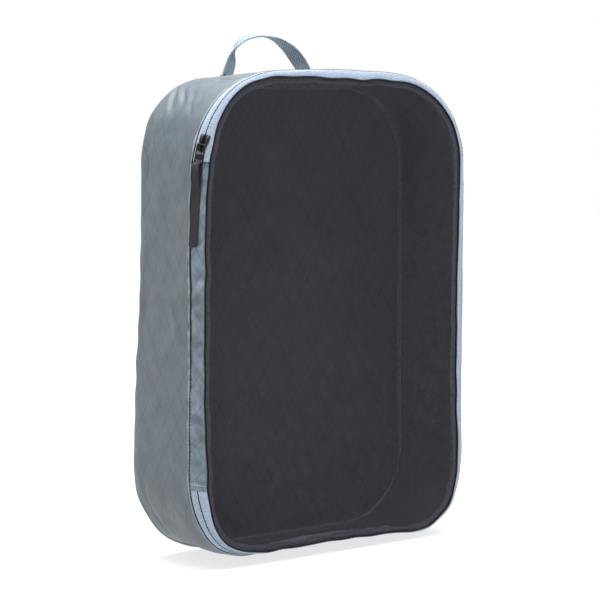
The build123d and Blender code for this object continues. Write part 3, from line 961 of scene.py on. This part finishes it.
def build_piping():
    """The dark cord that the mesh's edge is turned over."""
    u = around(0, ROUND, RING_STEP)
    out = -0.55 * MM + 0.12 * MM * closing(u) * sines(55, u, 0 * u, 12, 40)
    x, z, _, _ = rim(u, out, corner_foot + 0 * out)
    line = settle(x, seam_y + 0.05 * MM, z)
    tube("mesh_edge_cord", line, (0.0, -1.0, 0.0), edge_and_gap_shadow_cloth, 0.62 * MM, "lid", ["mesh_edge_piping"])


build_piping()
MESH_BULGE = 3.0 * MM


def build_mesh():
    inset = 0.9 * MM
    low, high = seam_low.z + inset, seam_high.z - inset
    x, z, edge = rounded_sheet(seam_half - inset, low, high, SEAM_RADIUS - inset, 3.0 * MM, front=True)
    dome = MESH_BULGE * (1 - np.exp(-edge / (24 * MM)))
    soft = 0.55 * MM * sines(61, x, z, 60, 160) + 0.10 * MM * sines(62, x, z, 16, 34)
    y = seam_y + 0.15 * MM - dome - soft * np.clip(edge / (20 * MM), 0, 1)
    net = sew("mesh_net", settle(x, y, z), (z, x), net_cloth, 0, "lid", "mesh", ["mesh_window"])


build_mesh()


# ---- inner bindings
wavy_ring("front_seam_tape", "front_seam_binding", "shell", 3.2, 8.2, BAND_BACK + 1.6 * MM, 71, 0.9)
wavy_ring("back_seam_tape", "back_seam_binding", "shell", 2.4, 6.9, DEPTH - 3.2 * MM, 75, 0.6)


# ---- care label
def build_label():
    """A blank label sewn in at its edge and curling a little."""
    low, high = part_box("care_label")
    t, s = np.meshgrid(np.linspace(0, 1, 24), np.linspace(0, 1, 9), indexing="ij")
    x = high.x - (high.x - low.x) * s
    z = low.z + (high.z - low.z) * t + 0.5 * MM * s * (2 * t - 1)
    y = (low.y + high.y) / 2 - 1.1 * MM * s**2 * np.sin(pi * t) ** 0.5 + 0.4 * MM * np.sin(7 * t) * s
    sew("care_label_cloth", np.stack([x, y, z], -1), (z, x), label_cloth, 0.4 * MM,
        "lid", "label", ["care_label"], offset=0.0, smooth=1)


build_label()


# ---- handle
def middle_of(node):
    """The middle of a CAD node's box."""
    low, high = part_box(node)
    return (low + high) / 2


HANDLE_HALF = 5.5 * MM
anchor_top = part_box("handle_anchor_left")[1].z
arch_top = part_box("handle_webbing")[1].z
handle_y = middle_of("handle_webbing").y
left_foot_x = middle_of("handle_anchor_left").x
right_foot_x = middle_of("handle_anchor_right").x
# How the strap rolls about its own line: the share along it, then degrees.
HANDLE_ROLL = np.array([
    [0, -80], [0.10, -76], [0.17, -50], [0.22, -17], [0.32, 9], [0.48, 11],
    [0.57, 2], [0.65, -8], [0.73, -23], [0.81, -46], [0.91, -76], [1.0, -84],
])


def build_handle():
    """The webbing loop with its half twist."""
    foot = anchor_top - 3.5 * MM
    top = arch_top + 0.2 * MM
    span = right_foot_x - left_foot_x
    bends = [
        (0.037, foot + 9 * MM), (0.085, top - 12.2 * MM), (0.190, top - 3.6 * MM), (0.375, top),
        (0.580, top - 1.8 * MM), (0.705, top - 6.2 * MM), (0.812, top - 12.2 * MM), (0.965, foot + 6.5 * MM),
    ]
    places = [(left_foot_x + share * span, z) for share, z in bends]
    line = smooth_line([(left_foot_x - 0.8 * MM, foot), *places, (right_foot_x, foot)], 120)
    along = lengths(line) / lengths(line)[-1]
    roll = np.interp(along, *HANDLE_ROLL.T)
    roll = np.radians(np.convolve(np.pad(roll, 4, mode="edge"), np.ones(9) / 9, mode="valid"))
    centres = np.stack([line[:, 0], np.full(len(line), handle_y), line[:, 1]], -1)
    ahead = unit(np.gradient(line, axis=0))
    normal = np.stack([-ahead[:, 1], 0 * along, ahead[:, 0]], -1)
    widths = np.cos(roll)[:, None] * np.array([0, 1.0, 0]) + np.sin(roll)[:, None] * normal
    start = Vector((left_foot_x, handle_y, anchor_top))
    end = Vector((left_foot_x, handle_y, anchor_top + 4.5 * MM))
    ribbon("handle_strap", centres, widths, HANDLE_HALF, web_cloth, 1.3 * MM,
           ("shell", "handle", start, end), "webbing", ["handle_webbing"], offset=0.0, smooth=1)


build_handle()


def build_foot(name, node, foot_x):
    """One of the strap's ends, folded flat on the cloth and tacked."""
    t = np.linspace(0, 1, 8)
    y = handle_y + (0.2 + 4.2 * t) * MM
    z = anchor_top - (2.5 + 1.3 * t**2) * MM
    centres = np.stack([np.full(8, foot_x), y, z], -1)
    ribbon(name, centres, np.tile([1.0, 0, 0], (8, 1)), HANDLE_HALF - 0.8 * MM, web_cloth, 1.1 * MM,
           "shell", "webbing", [node], offset=0.0, smooth=1)
    line = centres[2] + np.array([[-4.6, 0, 0.7], [4.6, 0, 0.7]]) * MM
    up = np.array([[0, 0, 1.0]] * 2)
    stitches(name + "_tack", line, up, blue_thread, (1.3, 1.0, 0.22), "shell")


build_foot("handle_foot_left", "handle_anchor_left", left_foot_x)
build_foot("handle_foot_right", "handle_anchor_right", right_foot_x)


# ---- slider, link and pull tab
PULL_TURN = radians(27)
PULL_LEAN = radians(3.6)
SLIDER_TILT = radians(-6)
SLIDER_LONG = 12.4 * MM
SLIDER_HALF = 3.6 * MM
CHAIN_OUT = 6.6 * MM
LINK_HALF = 3.2 * MM
LINK_WIRE = 0.58 * MM
link_top = Vector(joints["link_swing"]["pos_m"])
link_foot = Vector(joints["tab_swing"]["pos_m"])
camera_right = np.array([cos(CAMERA_AZIMUTH), sin(CAMERA_AZIMUTH), 0])


def soften(piece, width, angle=35):
    """Round a piece's sharp edges a little."""
    rounder = piece.modifiers.new("edges", "BEVEL")
    rounder.width = width
    rounder.segments = 2
    rounder.limit_method = "ANGLE"
    rounder.angle_limit = radians(angle)


def block(name, centre, directions, half_mm, body):
    """A small metal block with softened edges."""
    corners = np.array([[i, j, k] for i in (-1, 1) for j in (-1, 1) for k in (-1, 1)])
    points = np.array(centre) + corners * np.array(half_mm) * MM @ np.array(directions)
    faces = [(0, 1, 3, 2), (4, 6, 7, 5), (0, 4, 5, 1), (2, 3, 7, 6), (0, 2, 6, 4), (1, 5, 7, 3)]
    piece = new_mesh(name, points, faces, gunmetal)
    soften(piece, 0.22 * MM)
    finish_piece(piece, body)


def chain_frame(u):
    """A place on the chain line and the directions down, across and off it."""
    across = np.array([0, 0, 1, 0]) * MM
    above = np.array([0, 0, 0, 1]) * MM
    spots = across_chain(np.array([u, u - 1 * MM, u, u]), across, above)
    down, across, off = (Vector(spot - spots[0]).normalized() for spot in spots[1:])
    tilt = Matrix.Rotation(SLIDER_TILT, 3, off)
    return spots[0], np.array(tilt @ down), np.array(tilt @ across), np.array(off)


# The slider's two lobes seen from its end: a share of its half width, then a height in mm.
SLIDER_LOBE = [
    [0.11, 0.5], [0.17, 1.3], [0.30, 2.35], [0.52, 2.75], [0.76, 2.2], [0.93, 1.35], [1.0, 0.75], [1.0, -0.3],
]
SLIDER_SECTION = np.array([[-a, b] for a, b in SLIDER_LOBE[::-1]] + SLIDER_LOBE)
# Along the slider from its top: the share, the share of its half width, and the lobes' height.
SLIDER_SHARES = np.array([0, 0.03, 0.09, 0.2, 0.32, 0.44, 0.56, 0.68, 0.8, 0.9, 0.96, 1.0])
SLIDER_WIDE = np.array([[0, 0.93], [0.06, 1.0], [0.4, 0.98], [0.93, 0.70], [1.0, 0.60]])
SLIDER_TALL = np.array([
    [0, 0.42], [0.04, 0.62], [0.16, 0.95], [0.5, 1.35], [0.8, 1.15], [0.95, 0.75], [1.0, 0.4],
])


def build_slider():
    """Two lobes with a slot between them above the tapes, and a plain plate under the coils."""
    rise = middle_of("slider_body").z - corner_top
    u = LEFT_TOP + QUARTER * asin(rise / (SEAM_RADIUS + CHAIN_OUT)) / (pi / 2)
    place, down, across, off = chain_frame(u)
    half = SLIDER_HALF * np.interp(SLIDER_SHARES, *SLIDER_WIDE.T)
    tall = np.interp(SLIDER_SHARES, *SLIDER_TALL.T)
    side, up = SLIDER_SECTION.T
    heights = up * np.where(up > 0.1, tall[:, None], 1.0) * MM + 0.35 * MM
    spots = (
        place + ((SLIDER_SHARES - 0.5) * SLIDER_LONG)[:, None, None] * down
        + (half[:, None] * side)[..., None] * across + heights[..., None] * off
    )
    faces = capped_faces(len(SLIDER_SHARES), len(SLIDER_SECTION), turns_back=True)
    body = new_mesh("slider_lobes", spots.reshape(-1, 3), faces, gunmetal)
    soften(body, 0.16 * MM, 45)
    finish_piece(body, "slider", ["slider_body"])
    block("slider_under_plate", place - off * 3.1 * MM, (down, across, off), (5.4, 2.9, 0.45), "slider")


build_slider()


def forward(direction):
    """A direction, turned round if it faces the back."""
    return -direction if direction[1] > 0 else direction


def build_link():
    """A long wire loop with a plate across it, hanging a little turned from the slider."""
    down = (link_foot - link_top).normalized()
    across = Matrix.Rotation(PULL_TURN, 3, down) @ Vector(joints["link_swing"]["axis"])
    facing = forward(np.array(down.cross(across)))
    length = (link_foot - link_top).length
    radius = 1.3 * MM
    turns = np.linspace(0, pi / 2, 7)
    corners = []
    for quarter, (side, low) in enumerate(((1, 0), (1, 1), (-1, 1), (-1, 0))):
        angle = turns + (quarter - 1) * pi / 2
        middle = (side * (LINK_HALF - radius), low * (length - 2 * radius) + radius)
        corners.append(np.stack([middle[0] + radius * np.cos(angle), middle[1] + radius * np.sin(angle)], 1))
    flat = np.concatenate([[[0, 0]], *corners, [[0, 0]]])
    flat = np.concatenate([flat[:1], *[np.linspace(a, b, 3)[1:] for a, b in zip(flat, flat[1:])]])
    line = np.array(link_top) + flat[:, :1] * np.array(across) + flat[:, 1:] * np.array(down)
    tube("pull_link_loop", line, facing, gunmetal, LINK_WIRE, "pull_link", ["pull_link"], sides=10)
    centre = np.array(link_top + down * 8.9 * MM) + facing * 0.35 * MM
    block("pull_link_plate", centre, (across, down, facing), (2.9, 2.0, 0.75), "pull_link")


build_link()
TAB_LAYER = 0.62 * MM
TAB_HALF = 3.2 * MM
TAB_CORNER = 1.7 * MM


def build_tab():
    """A coated strap folded over the link's foot: an open loop above, the layers sewn below."""
    drop = link_foot.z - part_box("pull_tab")[0].z
    side = [
        (TAB_LAYER, -drop), (TAB_LAYER, -0.62 * drop), (TAB_LAYER, -0.36 * drop),
        (1.6 * MM, -0.27 * drop), (3.6 * MM, -0.15 * drop), (3.9 * MM, -0.03 * drop),
        (2.2 * MM, 1.7 * MM), (-0.3 * MM, 1.6 * MM), (-1.5 * MM, -0.04 * drop),
        (-1.6 * MM, -0.14 * drop), (-1.1 * MM, -0.27 * drop),
        (-TAB_LAYER, -0.36 * drop), (-TAB_LAYER, -0.62 * drop), (-TAB_LAYER, -drop),
    ]
    line = smooth_line(side, 150)
    level = Vector(joints["tab_swing"]["axis"])
    level.z = 0
    wide = np.array(Matrix.Rotation(-PULL_TURN, 3, "Z") @ level.normalized())
    facing = forward(np.cross([0, 0, 1.0], wide))
    fall = np.clip(-line[:, 1] / drop, 0, 1)
    centres = np.array(link_foot) + line[:, :1] * facing + line[:, 1:] * np.array([0, 0, 1.0])
    centres = centres - (sin(PULL_LEAN) * drop * fall)[:, None] * camera_right
    half = TAB_HALF - 0.4 * MM * np.clip(1 - fall / 0.3, 0, 1)
    near_end = np.clip(1 - (1 - fall) * drop / TAB_CORNER, 0, 1)
    half = half - TAB_CORNER * (1 - np.sqrt(1 - near_end**2)) * 0.9
    tab = ribbon("pull_tab_strap", centres, wide * half[:, None], 1.0, strap_coat, 1.15 * MM,
                 "pull_tab", "tab_rubber", ["pull_tab"], offset=0.0)
    soften(tab, 0.25 * MM, 50)


build_tab()


# ---- floor and light
FLOOR_SPOKES = 96
FLOOR_RADII = (0.4, 1.0, 2.5, 6.0)


def build_floor():
    data = bpy.data.meshes.new("floor")
    turn = np.linspace(0, 2 * pi, FLOOR_SPOKES, endpoint=False)
    points = [(0, 0, 0)] + [(r * cos(a), r * sin(a), 0) for r in FLOOR_RADII for a in turn]
    faces = [(0, 1 + k, 1 + (k + 1) % FLOOR_SPOKES) for k in range(FLOOR_SPOKES)]
    faces += [tuple(f) for f in grid_faces(len(FLOOR_RADII), FLOOR_SPOKES, closed=True) + 1]
    data.from_pydata(points, [], faces)
    data.materials.append(floor_paint("white_floor"))
    put("floor", data)


def soft_light(name, place, size, power, aim):
    data = bpy.data.lights.new(name, "AREA")
    data.shape = "DISK"
    data.size = size
    data.energy = power
    point(put(name, data), place, Vector(aim) - Vector(place))


def build_world(horizon, sky):
    """White light from the horizon, dimmer from above."""
    world = bpy.data.worlds.new("studio")
    world.use_nodes = True
    tree = world.node_tree
    split = tree.nodes.new("ShaderNodeSeparateXYZ")
    tree.links.new(tree.nodes.new("ShaderNodeTexCoord").outputs["Generated"], split.inputs[0])
    rise = tree.nodes.new("ShaderNodeMapRange")
    tree.links.new(split.outputs[2], rise.inputs[0])
    for socket, value in zip(rise.inputs[1:5], (0.12, 0.35, horizon, sky)):
        socket.default_value = value
    background = tree.nodes["Background"]
    background.inputs[0].default_value = (1, 1, 1, 1)
    tree.links.new(rise.outputs[0], background.inputs[1])
    bpy.context.scene.world = world


build_floor()
build_world(1.0, 0.45)
bpy.context.scene.view_settings.view_transform = "Standard"
soft_light("overhead", (-0.04, 0.0, 1.10), 1.3, 23, aim=(0, 0, 0.36))
soft_light("front_left", (-1.5, -0.7, 1.3), 0.8, 2, aim=(0, 0, 0.17))
sun = bpy.data.lights.new("sky_light", "SUN")
sun.energy = 2.0
sun.angle = radians(70)
put("sky_light", sun)
